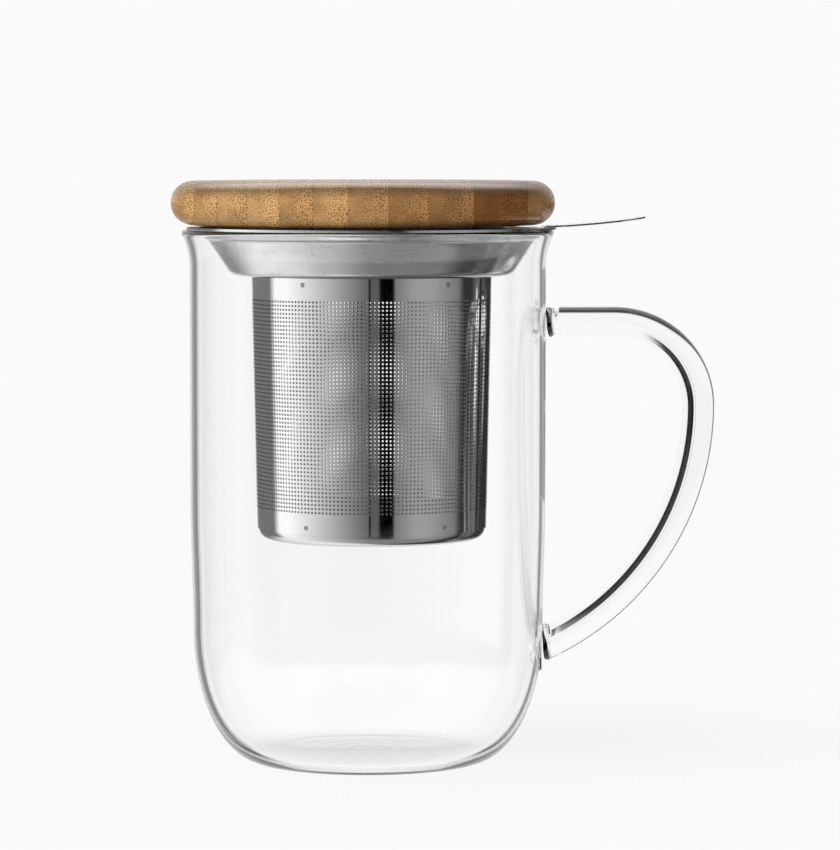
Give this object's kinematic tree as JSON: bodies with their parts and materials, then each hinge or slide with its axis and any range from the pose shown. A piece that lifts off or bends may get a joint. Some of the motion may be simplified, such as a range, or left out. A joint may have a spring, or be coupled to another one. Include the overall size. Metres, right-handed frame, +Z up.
{
  "type": "lidded tea mug with infuser",
  "caption": "Tall round glass mug with a side handle, a hanging perforated steel infuser with a lifting tab, and a loose flat lid of laminated bamboo.",
  "frame": {"origin": "centre of the flat foot of the glass, on the table", "axes": "+Z up along the axis of the glass, +X towards the handle"},
  "size_m": [0.1253, 0.0884, 0.1341],
  "materials": {
    "glass": "clear, blown, fire polished",
    "steel_collar": "pressed sheet, satin polish",
    "steel_sleeve": "rolled sheet with a band of fine holes, bright polish",
    "steel_base": "pressed sheet, satin polish",
    "steel_tab": "sheet, bright polish",
    "weld_steel": "small dull weld marks",
    "bamboo_light": "bamboo, end grain dots, oiled satin",
    "bamboo_mid": "bamboo, end grain dots, oiled satin",
    "bamboo_dark": "steamed bamboo, end grain dots, oiled satin"
  },
  "bodies": {
    "cup": {"glass_cup": "glass", "glass_handle": "glass"},
    "infuser": {"infuser_collar": "steel_collar", "infuser_sleeve": "steel_sleeve", "infuser_base": "steel_base", "infuser_tab": "steel_tab", "collar_spot_welds": "weld_steel", "base_spot_welds": "weld_steel", "tab_spot_welds": "weld_steel"},
    "lid": {"lid_strip_01": "bamboo_light", "lid_strip_02": "bamboo_light", "lid_strip_03": "bamboo_light", "lid_strip_04": "bamboo_light", "lid_strip_05": "bamboo_light", "lid_strip_06": "bamboo_light", "lid_strip_07": "bamboo_mid", "lid_strip_08": "bamboo_mid", "lid_strip_09": "bamboo_mid", "lid_strip_10": "bamboo_dark", "lid_strip_11": "bamboo_dark"}
  },
  "joints": [
    {"name": "infuser_lift", "type": "slide", "parent": "cup", "child": "infuser", "axis": [0, 0, 1], "range_m": [0, 0.08]},
    {"name": "lid_lift", "type": "slide", "parent": "infuser", "child": "lid", "axis": [0, 0, 1], "range_m": [0, 0.04]}
  ]
}
